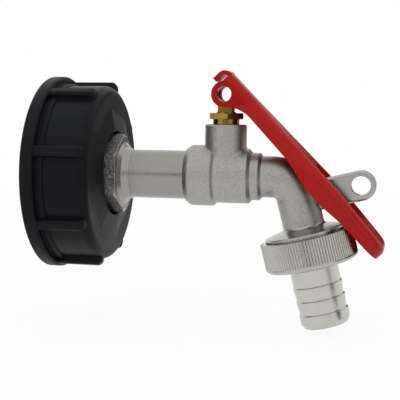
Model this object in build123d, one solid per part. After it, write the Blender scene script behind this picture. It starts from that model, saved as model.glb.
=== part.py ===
from build123d import *
from math import cos, radians, sin, sqrt, tan
import os

os.makedirs("parts", exist_ok=True)

# Frame: the origin is the centre of the cap's open end, +X runs along the pipe to the spout, +Z is up.
# All sizes are in millimetres and all angles in degrees.

# Clearances
running_fit = 0.05
thread_fit = 0.05
face_gap = 0.05
side_gap = 0.2
same_size = 0.01

# Corner chamfers of the hexagons are turned at 30 degrees
chamfer_slope = tan(radians(30))

# Screw cap for the tank outlet, thread 60 mm outside with a pitch of 6 mm
cap_thread_root_radius = 30.2
cap_thread_depth = 2.6
cap_thread_pitch = 6.0
cap_thread_turns = 1.7
cap_thread_root_width = 3.6
cap_thread_crest_width = 1.6
cap_lead_in_step = 0.6
cap_lead_in_length = 2.6
cap_wall = 6.0
cap_rib_height = 3.0
cap_foot_step = 0.8
cap_flange_step = 0.8
cap_flange_thickness = 5.4
cap_foot_thickness = 3.0
cap_face_x = 25.6
cap_face_round = 3.5
cap_edge_round = 1.0
cap_foot_round = 0.6
cap_rib_count = 8
cap_rib_width = 4.4
cap_rib_end_gap = 1.2
cap_rib_end_round = 2.4
cap_rib_round = 1.2
cap_rib_first_angle = -16.0
cap_inner_face_x = 19.0
cap_sleeve_wall = 4.35
cap_sleeve_start_x = 8.0
cap_recess_clearance = 1.15
cap_recess_depth = 4.6
cap_hub_rise = 1.3
cap_hub_inset = 8.2
cap_hub_rim = 1.6
cap_thread_sink = 0.4

# Flat seal in the bottom of the cap
cap_gasket_thickness = 1.8
cap_gasket_width = 4.4

# Inlet connector, screwed into the cap and into the tap
connector_stub_radius = 13.2
connector_stub_start_x = 9.0
connector_hex_flats = 28.5
connector_hex_right_x = 30.8
connector_hex_thickness = 6.6
connector_hex_corner_chamfer = 1.3
connector_cone_length = 4.0
connector_cone_waist = 1.1
connector_cone_radius = 13.0
connector_pipe_radius = 9.97
connector_bore_radius = 6.5
collar_gasket_inset = 1.2

# Tap body
body_start_x = 57.7
body_start_radius = 10.9
body_cone_length = 2.2
body_start_round = 0.8
body_cone_round = 2.0
body_barrel_radius = 12.42
body_barrel_end_x = 69.0
body_waist_radius = 11.13
body_waist_end_x = 83.5
body_ring_radius = 9.65
body_ring_start_x = 84.8
body_ring_end_x = 87.9
body_step_round = 1.2
body_waist_round = 0.6
spout_radius = 8.4
spout_bore_radius = 6.2
spout_axis_x = 101.2
spout_lean = 14.2
spout_bend_radius = 10.0
spout_collar_start = 20.4
spout_collar_slope = 2.0
spout_collar_rim_round = 0.5
spout_collar_root_round = 1.2
outlet_thread_radius = 16.6
outlet_groove_start = 23.2
outlet_groove_width = 1.5
outlet_groove_depth = 0.9
outlet_end = 30.4
outlet_bore_radius = 11.0
outlet_bore_start = 23.0
outlet_bore_cone = 4.0
boss_radius = 8.5
boss_top_z = 20.95
boss_blend = 1.2
boss_edge_round = 0.6

# Padlock lug on the back of the spout
lug_thickness = 4.4
lug_half_width = 6.05
lug_from_pipe_axis = 9.1
lug_reach = 25.85
lug_hole_radius = 3.85
lug_edge_round = 1.1

# Ball and its seats
valve_axis_x = 73.6
ball_radius = 8.8
ball_bore_radius = 5.4
ball_chamber_radius = 9.3
seat_inner_radius = 5.8
seat_outer_offset = 8.0
seat_inner_offset = 4.6
ball_slot_width = 3.6
ball_slot_floor_z = 6.4

# Stem and its gland
gland_floor_z = 11.0
gland_floor_hole_radius = 4.3
gland_chamber_radius = 5.45
stem_radius = 4.0
stem_skirt = 1.2
stem_blade_thickness = 3.4
stem_blade_width = 7.4
stem_clip_groove_radius = 3.4
stem_clip_outer_radius = 5.2
stem_clip_thickness = 0.8
stem_clip_z = 11.3
stem_clip_gap = 1.6
thrust_washer_thickness = 0.8
packing_thickness = 1.8
gland_hex_flats = 13.4
gland_hex_bottom_z = 23.1
gland_hex_top_z = 25.6
gland_hex_chamfer = 0.7
gland_hex_turn = -16.0
o_ring_section_radius = 0.75
o_ring_z = 20.2
stem_shoulder_z = 26.0
stem_tang_width = 5.8
stem_tang_depth = 6.0
stem_eye_radius = 5.1

# Lever, a folded sheet with a web and two cheeks
lever_pivot_z = 33.2
lever_drop = 46.0
lever_rest_swing = 2.1
lever_sheet = 1.8
lever_web_offset = 7.7
lever_head_half_width = 5.0
lever_grip_half_width = 11.0
lever_taper_start = 8.0
lever_wide_lead = 4.7
lever_bend_length = 29.0
lever_tip_margin = 13.4
lever_tip_drop = 1.8
lever_tip_plan_round = 6.5
lever_outer_fold = 3.4
lever_head_radius = 5.3
lever_throat_round = 14.0
lever_hole_radius = 3.05
lever_collar_wall = 0.9
lever_collar_reach = 1.7
lever_lower_edge_high = 1.3
lever_lower_edge_low = -0.8
lever_lower_edge_tip = 0.3
lever_lower_edge_step = 13.0
lever_lower_edge_rise = 29.0
lever_lower_edge_flat = 19.0
lever_slot_lead = 7.5
lever_slot_rest = 8.8
lever_slot_width = 12.6
lever_lip_radius = 3.5
lever_lip_centre_s = -4.3
lever_lip_end_n = 0.9

# Union nut and hose tail below the spout
union_nut_wall = 2.3
union_nut_start = 23.8
union_nut_end = 36.2
union_nut_top_chamfer = 0.8
union_nut_lower_chamfer = 1.9
union_nut_floor = 2.0
union_washer_thickness = 1.8
union_washer_inset = 0.8
union_washer_width = 5.8
tail_collar_inset = 0.6
tail_neck_radius = 11.3
tail_neck_end = 37.4
tail_land_radius = 9.8
tail_bore_radius = 7.6
tail_barb_radius = 10.1
tail_barb_root_radius = 9.6
tail_barb_face = 0.35
tail_first_barb = 43.9
tail_barb_pitch = 5.65
tail_barb_count = 3
tail_end = 61.2
tail_end_radius = 8.9
tail_end_chamfer = 2.0

# Coordinate frames of the axes that pieces are turned about
pipe_frame = Plane(origin=(0, 0, 0), x_dir=(0, 0, 1), z_dir=(1, 0, 0))
spout_down = (sin(radians(spout_lean)), 0, -cos(radians(spout_lean)))
spout_back = (cos(radians(spout_lean)), 0, sin(radians(spout_lean)))
spout_frame = Plane(origin=(spout_axis_x, 0, 0), x_dir=spout_back, z_dir=spout_down)
valve_frame = Plane(origin=(valve_axis_x, 0, 0), x_dir=(1, 0, 0), z_dir=(0, 0, 1))
lever_along = (cos(radians(lever_drop)), 0, -sin(radians(lever_drop)))
lever_frame = Plane(origin=(valve_axis_x, 0, lever_pivot_z), x_dir=lever_along, z_dir=(0, -1, 0))
valve_axis = Axis((valve_axis_x, 0, 0), (0, 0, 1))


def turned(profile):
    """Solid of revolution about its own Z axis, from (distance, radius) points."""
    points = [(radius, distance) for distance, radius in profile]
    outline = Plane.XZ * make_face(Polyline(*points, close=True))
    return revolve(outline, axis=Axis.Z)


def ring(start, end, inner, outer):
    """Plain ring about its own Z axis."""
    return turned([(start, inner), (start, outer), (end, outer), (end, inner)])


def round_edges(shape, radius):
    """Round edges with this radius of a blank that is turned about its own Z axis, lowest first."""
    circles = shape.edges().filter_by(GeomType.CIRCLE)
    return circles.filter_by(lambda e: abs(e.radius - radius) < same_size).sort_by(Axis.Z)


def hexagon_bar(start, end, flats):
    """Hexagonal prism about its own Z axis, with a pair of flats facing its Y axis."""
    outline = RegularPolygon(flats / 2, 6, major_radius=False, rotation=0)
    return Pos(0, 0, start) * extrude(outline, end - start)


def with_swing(shape):
    """Turn a piece about the stem's axis by the play that the lever hangs with."""
    return shape.rotate(valve_axis, -lever_rest_swing)


def save(shape, name):
    solids = shape.solids()
    piece = solids[0] if len(solids) == 1 else Compound(children=list(solids))
    export_step(piece, "parts/" + name + ".step")
    print(name, len(solids), "solid(s)", round(sum(s.volume for s in solids), 1), "mm3")


# Threaded cap
cap_barrel_radius = cap_thread_root_radius + cap_wall
cap_rib_radius = cap_barrel_radius + cap_rib_height
cap_foot_radius = cap_barrel_radius + cap_foot_step
cap_flange_radius = cap_rib_radius + cap_flange_step
cap_lead_in_radius = cap_thread_root_radius + cap_lead_in_step
cap_gasket_outer_radius = cap_thread_root_radius - cap_thread_depth - side_gap
thread_hole_radius = connector_stub_radius + thread_fit
cap_sleeve_radius = thread_hole_radius + cap_sleeve_wall
connector_hex_corner_radius = connector_hex_flats / sqrt(3)
cap_recess_radius = connector_hex_corner_radius + cap_recess_clearance
cap_recess_floor_x = cap_face_x - cap_recess_depth


def cap_rib(angle):
    blank_length = cap_face_x - cap_rib_end_gap - cap_flange_thickness / 2
    height = cap_rib_height + cap_wall / 2
    blank = Box(blank_length, cap_rib_width, height, align=(Align.MIN, Align.CENTER, Align.MAX))
    end_edge = blank.edges().filter_by(Axis.Y).sort_by(lambda e: e.center().X + e.center().Z)[-1]
    blank = fillet(end_edge, cap_rib_end_round)
    side_edges = blank.edges().filter_by(lambda e: abs(abs(e.center().Y) - cap_rib_width / 2) < same_size
                                         and e.center().Z > -cap_rib_end_round)
    blank = fillet(side_edges, cap_rib_round)
    placed = Pos(cap_flange_thickness / 2, 0, cap_rib_radius) * blank
    return placed.rotate(Axis.X, angle)


def cap_hub():
    """Low pyramid on the face, with as many corners as there are ribs and each corner between two ribs."""
    low = Pos(0, 0, cap_face_x - face_gap) * RegularPolygon(cap_barrel_radius - cap_hub_inset, cap_rib_count)
    high = Pos(0, 0, cap_face_x + cap_hub_rise) * RegularPolygon(cap_recess_radius + cap_hub_rim, cap_rib_count)
    corner_angle = cap_rib_first_angle + 180 / cap_rib_count
    return (pipe_frame * loft([low, high])).rotate(Axis.X, corner_angle)


def cap_thread():
    """Inside thread ridge as a swept trapezium that starts past the lead-in."""
    start_x = cap_lead_in_length + cap_thread_root_width
    height = cap_thread_pitch * cap_thread_turns
    root = cap_thread_root_radius + cap_thread_sink
    path = Helix(cap_thread_pitch, height, root)
    crest = cap_thread_depth + cap_thread_sink
    outline = Polyline((0, -cap_thread_root_width / 2), (-crest, -cap_thread_crest_width / 2),
                       (-crest, cap_thread_crest_width / 2), (0, cap_thread_root_width / 2), close=True)
    section = Plane(origin=(root, 0, 0), x_dir=(1, 0, 0), z_dir=(0, -1, 0)) * make_face(outline)
    return pipe_frame * (Pos(0, 0, start_x) * sweep(section, path=path, is_frenet=True))


def threaded_cap():
    foot_end = cap_flange_thickness + cap_foot_thickness
    shell = turned([(0, 0), (0, cap_flange_radius), (cap_flange_thickness, cap_flange_radius),
                    (cap_flange_thickness, cap_foot_radius), (foot_end, cap_foot_radius),
                    (foot_end, cap_barrel_radius), (cap_face_x, cap_barrel_radius), (cap_face_x, 0)])
    shell = fillet(round_edges(shell, cap_barrel_radius)[-1], cap_face_round)
    shell = fillet(round_edges(shell, cap_flange_radius), cap_edge_round)
    shell = pipe_frame * fillet(round_edges(shell, cap_foot_radius)[-1], cap_foot_round)
    for index in range(cap_rib_count):
        shell += cap_rib(cap_rib_first_angle + 360 / cap_rib_count * index)
    shell += cap_hub()
    hollow = turned([(0, 0), (0, cap_lead_in_radius), (cap_lead_in_length, cap_lead_in_radius),
                     (cap_lead_in_length, cap_thread_root_radius), (cap_inner_face_x, cap_thread_root_radius),
                     (cap_inner_face_x, 0)])
    sleeve = turned([(cap_sleeve_start_x, 0), (cap_sleeve_start_x, cap_sleeve_radius),
                     (cap_inner_face_x, cap_sleeve_radius), (cap_inner_face_x, 0)])
    through = turned([(0, 0), (0, thread_hole_radius), (cap_recess_floor_x, thread_hole_radius),
                      (cap_recess_floor_x, cap_recess_radius), (cap_face_x + cap_face_round, cap_recess_radius),
                      (cap_face_x + cap_face_round, 0)])
    shell -= pipe_frame * (hollow - sleeve + through)
    return shell + cap_thread()


def cap_gasket():
    outer = cap_gasket_outer_radius
    return pipe_frame * ring(cap_inner_face_x - cap_gasket_thickness, cap_inner_face_x,
                             outer - cap_gasket_width, outer)


# Inlet connector with its hexagon
hex_left_x = connector_hex_right_x - connector_hex_thickness
seat_outer_left_x = valve_axis_x - seat_outer_offset
seat_outer_right_x = valve_axis_x + seat_outer_offset


def collar_gasket():
    return pipe_frame * ring(cap_recess_floor_x, hex_left_x, thread_hole_radius,
                             cap_recess_radius - collar_gasket_inset)


def inlet_connector():
    corner_radius = connector_hex_corner_radius
    collar = hexagon_bar(hex_left_x, connector_hex_right_x, connector_hex_flats)
    rounding = turned([(hex_left_x, 0), (hex_left_x, corner_radius + connector_hex_corner_chamfer),
                       (connector_hex_right_x - connector_hex_corner_chamfer * chamfer_slope, corner_radius),
                       (connector_hex_right_x, corner_radius - connector_hex_corner_chamfer),
                       (connector_hex_right_x, 0)])
    collar = collar & rounding
    cone_end = connector_hex_right_x + connector_cone_length
    shaft = turned([(connector_stub_start_x, 0), (connector_stub_start_x, connector_stub_radius),
                    (hex_left_x, connector_stub_radius), (connector_hex_right_x, connector_cone_radius),
                    (connector_hex_right_x + connector_cone_length / 3, connector_pipe_radius + connector_cone_waist),
                    (cone_end, connector_pipe_radius), (seat_outer_left_x, connector_pipe_radius),
                    (seat_outer_left_x, 0)])
    bore = Pos(0, 0, connector_stub_start_x) * Cylinder(connector_bore_radius,
                                                        seat_outer_left_x - connector_stub_start_x,
                                                        align=(Align.CENTER, Align.CENTER, Align.MIN))
    return pipe_frame * (collar + shaft - bore)


# Tap body with bent spout, boss and lug
bend_sweep = 90 - spout_lean
bend_tangent = spout_bend_radius * tan(radians(bend_sweep / 2))
bend_start_x = spout_axis_x - bend_tangent


def bend(radius):
    """Quarter-like tube bend from the pipe axis down to the spout axis."""
    disc = Plane(origin=(bend_start_x, 0, 0), x_dir=(0, 1, 0), z_dir=(1, 0, 0)) * Circle(radius)
    centre = Axis((bend_start_x, 0, -spout_bend_radius), (0, 1, 0))
    return revolve(disc, axis=centre, revolution_arc=bend_sweep)


def lug():
    outline = Rectangle(lug_reach, lug_half_width * 2, align=(Align.MIN, Align.CENTER))
    outline += Pos(lug_reach, 0) * Circle(lug_half_width)
    plate = extrude(outline, lug_thickness / 2, both=True)
    rim = plate.edges().filter_by(lambda e: abs(abs(e.center().Z) - lug_thickness / 2) < same_size)
    rim = rim.filter_by(lambda e: e.center().X > same_size)
    plate = fillet(rim, lug_edge_round)
    plate -= Pos(lug_reach, 0) * Cylinder(lug_hole_radius, lug_thickness * 2)
    plane = Plane(origin=spout_frame.origin + Vector(*spout_down) * lug_from_pipe_axis,
                  x_dir=spout_back, z_dir=(0, -1, 0))
    return plane * plate


def valve_body():
    cone_end = body_start_x + body_cone_length
    barrel = turned([(body_start_x, 0), (body_start_x, body_start_radius), (cone_end, body_barrel_radius),
                     (body_barrel_end_x, body_barrel_radius),
                     (body_barrel_end_x + body_step_round, body_waist_radius),
                     (body_waist_end_x, body_waist_radius), (body_ring_start_x, body_ring_radius),
                     (body_ring_end_x, body_ring_radius), (body_ring_end_x + body_step_round, spout_radius),
                     (bend_start_x, spout_radius), (bend_start_x, 0)])
    barrel = fillet(round_edges(barrel, body_barrel_radius)[-1], body_waist_round)
    barrel = fillet(round_edges(barrel, body_barrel_radius)[0], body_cone_round)
    barrel = fillet(round_edges(barrel, body_start_radius)[0], body_start_round)
    boss = Cylinder(boss_radius, boss_top_z, align=(Align.CENTER, Align.CENTER, Align.MIN))
    boss = fillet(boss.edges().group_by(Axis.Z)[-1], boss_edge_round)
    saddle = turned([(cone_end, 0), (cone_end, body_waist_radius), (body_waist_end_x, body_waist_radius),
                     (body_waist_end_x, 0)])
    shape = pipe_frame * saddle + valve_frame * boss
    blend_edges = shape.edges().filter_by(
        lambda e: e.geom_type != GeomType.CIRCLE and e.geom_type != GeomType.LINE and e.center().Z > 0)
    shape = fillet(blend_edges, boss_blend) + pipe_frame * barrel
    neck = turned([(bend_tangent, 0), (bend_tangent, spout_radius), (spout_collar_start, spout_radius),
                   (spout_collar_start + spout_collar_slope, outlet_thread_radius),
                   (outlet_groove_start, outlet_thread_radius),
                   (outlet_groove_start, outlet_thread_radius - outlet_groove_depth),
                   (outlet_groove_start + outlet_groove_width, outlet_thread_radius - outlet_groove_depth),
                   (outlet_groove_start + outlet_groove_width, outlet_thread_radius),
                   (outlet_end, outlet_thread_radius), (outlet_end, 0)])
    neck = fillet(round_edges(neck, spout_radius)[-1], spout_collar_root_round)
    neck = fillet(round_edges(neck, outlet_thread_radius)[0], spout_collar_rim_round)
    shape = shape + bend(spout_radius) + spout_frame * neck
    shape += lug()
    inlet_bore = connector_pipe_radius + thread_fit
    cavity = turned([(body_start_x, 0), (body_start_x, inlet_bore), (seat_outer_left_x, inlet_bore),
                     (seat_outer_left_x, ball_chamber_radius), (seat_outer_right_x, ball_chamber_radius),
                     (seat_outer_right_x, spout_bore_radius), (bend_start_x, spout_bore_radius),
                     (bend_start_x, 0)])
    shape -= pipe_frame * cavity
    shape -= bend(spout_bore_radius)
    bore_cone_start = outlet_bore_start - outlet_bore_cone
    waterway = turned([(bend_tangent, 0), (bend_tangent, spout_bore_radius), (bore_cone_start, spout_bore_radius),
                       (outlet_bore_start, outlet_bore_radius), (outlet_end, outlet_bore_radius),
                       (outlet_end, 0)])
    shape -= spout_frame * waterway
    well = turned([(0, 0), (0, gland_floor_hole_radius), (gland_floor_z, gland_floor_hole_radius),
                   (gland_floor_z, gland_chamber_radius), (boss_top_z, gland_chamber_radius), (boss_top_z, 0)])
    return shape - valve_frame * well


# Ball, seats
def ball():
    shape = Sphere(ball_radius)
    shape -= Rot(90, 0, 0) * Cylinder(ball_bore_radius, ball_radius * 2)
    slot = Box(ball_radius * 2, ball_slot_width, ball_radius, align=(Align.CENTER, Align.CENTER, Align.MIN))
    shape -= Pos(0, 0, ball_slot_floor_z) * slot
    return with_swing(valve_frame * shape)


def seat_ring(side):
    outer = ball_chamber_radius - face_gap
    blank = ring(seat_inner_offset, seat_outer_offset, seat_inner_radius, outer)
    blank -= Sphere(ball_radius + running_fit)
    facing = Plane(origin=(valve_axis_x, 0, 0), x_dir=(0, 0, 1), z_dir=(side, 0, 0))
    return facing * blank


# Stem, its clip, washer, packing and gland nut
washer_bottom_z = stem_clip_z + stem_clip_thickness + face_gap
packing_bottom_z = washer_bottom_z + thrust_washer_thickness
gland_neck_bottom_z = packing_bottom_z + packing_thickness * 2
stem_hole_radius = stem_radius + running_fit
eye_bore_radius = lever_hole_radius + lever_collar_wall + running_fit


def stem():
    blade_bottom = ball_slot_floor_z + side_gap
    clip_top = stem_clip_z + stem_clip_thickness
    groove_top = o_ring_z + o_ring_section_radius
    groove_bottom = o_ring_z - o_ring_section_radius
    groove_radius = stem_radius - o_ring_section_radius * 2
    shaft = turned([(gland_floor_z - stem_skirt, 0), (gland_floor_z - stem_skirt, stem_radius),
                    (stem_clip_z, stem_radius), (stem_clip_z, stem_clip_groove_radius),
                    (clip_top, stem_clip_groove_radius), (clip_top, stem_radius),
                    (groove_bottom, stem_radius), (groove_bottom, groove_radius),
                    (groove_top, groove_radius), (groove_top, stem_radius),
                    (stem_shoulder_z, stem_radius), (stem_shoulder_z, 0)])
    blade = Pos(0, 0, blade_bottom) * Box(stem_blade_width, stem_blade_thickness,
                                          gland_floor_z - blade_bottom,
                                          align=(Align.CENTER, Align.CENTER, Align.MIN))
    tang = Pos(0, 0, stem_shoulder_z) * Box(stem_tang_width, stem_tang_depth, lever_pivot_z - stem_shoulder_z,
                                            align=(Align.CENTER, Align.CENTER, Align.MIN))
    eye = Pos(0, 0, lever_pivot_z) * (Rot(90, 0, 0) * Cylinder(stem_eye_radius, stem_tang_depth))
    eye_bore = Pos(0, 0, lever_pivot_z) * (Rot(90, 0, 0) * Cylinder(eye_bore_radius, stem_tang_depth * 2))
    return with_swing(valve_frame * (shaft + blade + tang + eye - eye_bore))


def stem_clip():
    shape = ring(stem_clip_z, stem_clip_z + stem_clip_thickness, stem_clip_groove_radius, stem_clip_outer_radius)
    opening = Pos(stem_clip_outer_radius, 0, stem_clip_z) * Box(stem_clip_outer_radius, stem_clip_gap,
                                                                stem_clip_thickness * 3)
    return with_swing(valve_frame * (shape - opening))


def stem_o_ring():
    centre_radius = stem_radius - o_ring_section_radius
    shape = Pos(0, 0, o_ring_z) * Torus(centre_radius, o_ring_section_radius - running_fit / 2)
    return with_swing(valve_frame * shape)


def thrust_washer():
    outer = gland_chamber_radius - face_gap
    return valve_frame * ring(washer_bottom_z, packing_bottom_z, stem_hole_radius, outer)


def packing_ring(index):
    bottom = packing_bottom_z + packing_thickness * index
    outer = gland_chamber_radius - face_gap
    return valve_frame * ring(bottom, bottom + packing_thickness, stem_hole_radius, outer)


def gland_nut():
    neck = ring(gland_neck_bottom_z, gland_hex_bottom_z, stem_hole_radius, gland_chamber_radius - thread_fit)
    head = Rot(0, 0, gland_hex_turn) * hexagon_bar(gland_hex_bottom_z, gland_hex_top_z, gland_hex_flats)
    corner_radius = gland_hex_flats / sqrt(3)
    rounding = turned([(gland_hex_bottom_z, 0), (gland_hex_bottom_z, corner_radius - gland_hex_chamfer),
                       (gland_hex_bottom_z + gland_hex_chamfer * chamfer_slope, corner_radius + same_size),
                       (gland_hex_top_z - gland_hex_chamfer * chamfer_slope, corner_radius + same_size),
                       (gland_hex_top_z, corner_radius - gland_hex_chamfer), (gland_hex_top_z, 0)])
    head = head & rounding
    hole = Pos(0, 0, gland_neck_bottom_z) * Cylinder(stem_hole_radius, gland_hex_top_z,
                                                        align=(Align.CENTER, Align.CENTER, Align.MIN))
    return valve_frame * (neck + (head - hole))


# Lever
def slot_reach(edge):
    """Distance along the lever where this edge of the lug passes through the web."""
    near = lever_frame.to_local_coords(spout_frame.from_local_coords(Vector(0, 0, edge)))
    far = lever_frame.to_local_coords(spout_frame.from_local_coords(Vector(lug_reach, 0, edge)))
    share = (lever_web_offset - near.Y) / (far.Y - near.Y)
    return near.X + (far.X - near.X) * share


lever_slot_start = slot_reach(lug_from_pipe_axis - lug_half_width) - lever_slot_lead
lever_slot_end = slot_reach(lug_from_pipe_axis + lug_half_width) + lever_slot_rest
lever_wide_at = lever_slot_start + lever_wide_lead
lever_length = lever_slot_end + lever_tip_margin
lever_bend_at = lever_length - lever_bend_length


def lever_side(inset):
    """Side outline of the channel; an inset moves the web and the tip in and leaves the underside open."""
    web = lever_web_offset - inset
    length = lever_length - inset
    low = -lever_head_radius * 3 if inset else 0
    lower = lever_lower_edge_low + low
    start = -lever_head_radius * 2 if inset else lever_lip_centre_s
    outline = make_face(Polyline((start, web), (lever_bend_at, web), (length, web - lever_tip_drop),
                                 (length, lever_lower_edge_tip + low),
                                 (lever_length - lever_lower_edge_flat, lever_lower_edge_tip + low),
                                 (lever_length - lever_lower_edge_rise, lower), (lever_wide_at, lower),
                                 (lever_wide_at - lever_lower_edge_step, lever_lower_edge_high + low),
                                 (0, lever_lower_edge_high + low), (start, low), close=True))
    if inset:
        return outline
    outline += Circle(lever_head_radius)
    throat = outline.vertices().filter_by(lambda v: 0 < v.X < lever_head_radius and v.Y < web / 2)
    return fillet(throat, lever_throat_round)


def lever_plan(inset):
    """Plan outline of the channel: narrow at the head, wide at the grip."""
    head = lever_head_half_width - inset
    grip = lever_grip_half_width - inset
    start = -lever_head_radius * 3
    length = lever_length - inset
    outline = make_face(Polyline((start, head), (lever_taper_start, head), (lever_wide_at, grip),
                                 (length, grip), (length, -grip), (lever_wide_at, -grip),
                                 (lever_taper_start, -head), (start, -head), close=True))
    corners = outline.vertices().filter_by(lambda v: abs(v.X - length) < same_size)
    return fillet(corners, lever_tip_plan_round - inset)


def lever_block(inset):
    """Solid block inside the channel's skin, with the folds between web and cheeks rounded."""
    side = extrude(lever_side(inset), lever_grip_half_width * 2, both=True)
    plan_plane = Plane(origin=(0, 0, 0), x_dir=(1, 0, 0), z_dir=(0, 1, 0))
    plan = extrude(plan_plane * lever_plan(inset), lever_length, both=True)
    block = side & plan
    web = lever_web_offset - inset
    folds = block.edges().filter_by(lambda e: e.center().Y > web - lever_tip_drop - lever_sheet / 2
                                    and abs(e.center().Z) > lever_head_half_width - inset - lever_sheet / 4
                                    and e.center().X > 0)
    return fillet(folds, lever_outer_fold - inset)


def lever_lip():
    """Lip that curls down at the head end of the web."""
    reach = lever_head_half_width - lever_sheet / 2
    centre = (lever_lip_centre_s, lever_web_offset - lever_lip_radius)
    band = Pos(*centre) * (Circle(lever_lip_radius) - Circle(lever_lip_radius - lever_sheet))
    corner = Rectangle(lever_lip_radius * 2, lever_lip_radius * 2, align=(Align.MAX, Align.MIN))
    band &= Pos(*centre) * corner
    tail_length = centre[1] - lever_lip_end_n
    band += Pos(centre[0] - lever_lip_radius, lever_lip_end_n) * Rectangle(lever_sheet, tail_length,
                                                                         align=(Align.MIN, Align.MIN))
    return extrude(band, reach, both=True)


def lever_collar(side):
    """Collar drawn inwards round the pivot hole, which runs in the stem's eye."""
    inner_face = lever_head_half_width - lever_sheet
    collar = Cylinder(lever_hole_radius + lever_collar_wall, lever_collar_reach + lever_sheet / 2,
                      align=(Align.CENTER, Align.CENTER, Align.MAX))
    return (Rot(0, 0, 0) if side > 0 else Rot(180, 0, 0)) * (Pos(0, 0, inner_face + lever_sheet / 2) * collar)


def lever():
    shape = lever_block(0) - lever_block(lever_sheet)
    shape += lever_lip()
    shape += lever_collar(1) + lever_collar(-1)
    shape -= Cylinder(lever_hole_radius, lever_grip_half_width * 2)
    slot_length = lever_slot_end - lever_slot_start
    slot = Pos((lever_slot_start + lever_slot_end) / 2, 0) * SlotOverall(slot_length, lever_slot_width)
    slot_plane = Plane(origin=(0, lever_lower_edge_high, 0), x_dir=(1, 0, 0), z_dir=(0, 1, 0))
    shape -= slot_plane * extrude(slot, lever_web_offset)
    return with_swing(lever_frame * shape)


# Union nut, washer and hose tail
washer_start = outlet_end
tail_start = washer_start + union_washer_thickness
nut_floor_start = union_nut_end - union_nut_floor
nut_thread_radius = outlet_thread_radius + thread_fit
union_nut_radius = nut_thread_radius + union_nut_wall
union_washer_outer_radius = outlet_thread_radius - union_washer_inset
tail_collar_radius = outlet_thread_radius - tail_collar_inset
tail_collar_end = nut_floor_start - face_gap


def union_nut():
    thread_radius = nut_thread_radius
    hole_radius = tail_neck_radius + running_fit
    return spout_frame * turned([
        (union_nut_start, thread_radius), (union_nut_start, union_nut_radius - union_nut_top_chamfer),
        (union_nut_start + union_nut_top_chamfer, union_nut_radius),
        (union_nut_end - union_nut_lower_chamfer, union_nut_radius),
        (union_nut_end, union_nut_radius - union_nut_lower_chamfer), (union_nut_end, hole_radius),
        (nut_floor_start, hole_radius), (nut_floor_start, thread_radius)])


def union_washer():
    return spout_frame * ring(washer_start, tail_start, union_washer_outer_radius - union_washer_width,
                              union_washer_outer_radius)


def hose_tail():
    profile = [(tail_start, tail_bore_radius), (tail_start, tail_collar_radius),
               (tail_collar_end, tail_collar_radius), (tail_collar_end, tail_neck_radius),
               (tail_neck_end, tail_neck_radius), (tail_neck_end, tail_land_radius)]
    for index in range(tail_barb_count):
        groove = tail_first_barb + tail_barb_pitch * index
        profile.append((groove, tail_land_radius if index == 0 else tail_barb_root_radius))
        if index == 0:
            profile.append((groove, tail_barb_root_radius))
        profile.append((groove + tail_barb_face, tail_barb_radius))
        if index < tail_barb_count - 1:
            profile.append((groove + tail_barb_pitch - tail_barb_face, tail_barb_root_radius))
    profile += [(tail_end - tail_end_chamfer, tail_barb_radius), (tail_end, tail_end_radius),
                (tail_end, tail_bore_radius)]
    return spout_frame * turned(profile)


pieces = {
    "threaded_cap": threaded_cap(),
    "cap_gasket": cap_gasket(),
    "collar_gasket": collar_gasket(),
    "inlet_connector": inlet_connector(),
    "valve_body": valve_body(),
    "ball": ball(),
    "seat_ring_inlet": seat_ring(-1),
    "seat_ring_outlet": seat_ring(1),
    "stem": stem(),
    "stem_clip": stem_clip(),
    "stem_o_ring": stem_o_ring(),
    "thrust_washer": thrust_washer(),
    "packing_ring_lower": packing_ring(0),
    "packing_ring_upper": packing_ring(1),
    "gland_nut": gland_nut(),
    "lever": lever(),
    "union_nut": union_nut(),
    "union_washer": union_washer(),
    "hose_tail": hose_tail(),
}
for name, piece in pieces.items():
    save(piece, name)
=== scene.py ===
"""Looks of a screw cap adapter with a lever tap, a knurled union nut and a barbed hose tail."""

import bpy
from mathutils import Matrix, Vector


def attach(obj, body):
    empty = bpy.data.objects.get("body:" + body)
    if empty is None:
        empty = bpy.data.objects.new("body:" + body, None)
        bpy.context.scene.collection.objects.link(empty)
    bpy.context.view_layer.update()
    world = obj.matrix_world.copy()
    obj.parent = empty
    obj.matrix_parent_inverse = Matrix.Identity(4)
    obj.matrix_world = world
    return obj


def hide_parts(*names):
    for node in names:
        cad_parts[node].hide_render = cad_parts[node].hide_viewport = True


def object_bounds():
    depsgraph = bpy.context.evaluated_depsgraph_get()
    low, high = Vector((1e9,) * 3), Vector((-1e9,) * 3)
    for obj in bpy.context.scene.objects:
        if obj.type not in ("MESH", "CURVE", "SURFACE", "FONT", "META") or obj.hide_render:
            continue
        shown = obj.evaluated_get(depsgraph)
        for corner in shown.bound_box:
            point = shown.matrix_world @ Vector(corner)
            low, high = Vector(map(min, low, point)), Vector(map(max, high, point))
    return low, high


bl_info = {
    "name": "Tank tap adapter",
    "version": (1, 0, 0),
    "blender": (4, 5, 0),
    "location": "View3D > Sidebar > Tap adapter",
    "description": "Finishes, union nut and hose tail of a tank tap adapter",
    "category": "Object",
}

import bmesh
import bpy
from math import cos, pi, radians, sin
from mathutils import Matrix, Vector

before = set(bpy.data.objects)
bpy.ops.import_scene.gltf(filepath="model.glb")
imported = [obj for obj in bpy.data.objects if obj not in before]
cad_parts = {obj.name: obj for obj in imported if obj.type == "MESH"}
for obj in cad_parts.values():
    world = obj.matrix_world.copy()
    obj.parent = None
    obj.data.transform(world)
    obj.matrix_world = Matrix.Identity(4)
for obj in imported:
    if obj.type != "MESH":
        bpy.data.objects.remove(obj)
cad_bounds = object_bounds()

MM = 0.001
PIPE_AXIS = (1, 0, 0)
STEM_AXIS = (0, 0, 1)

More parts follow.
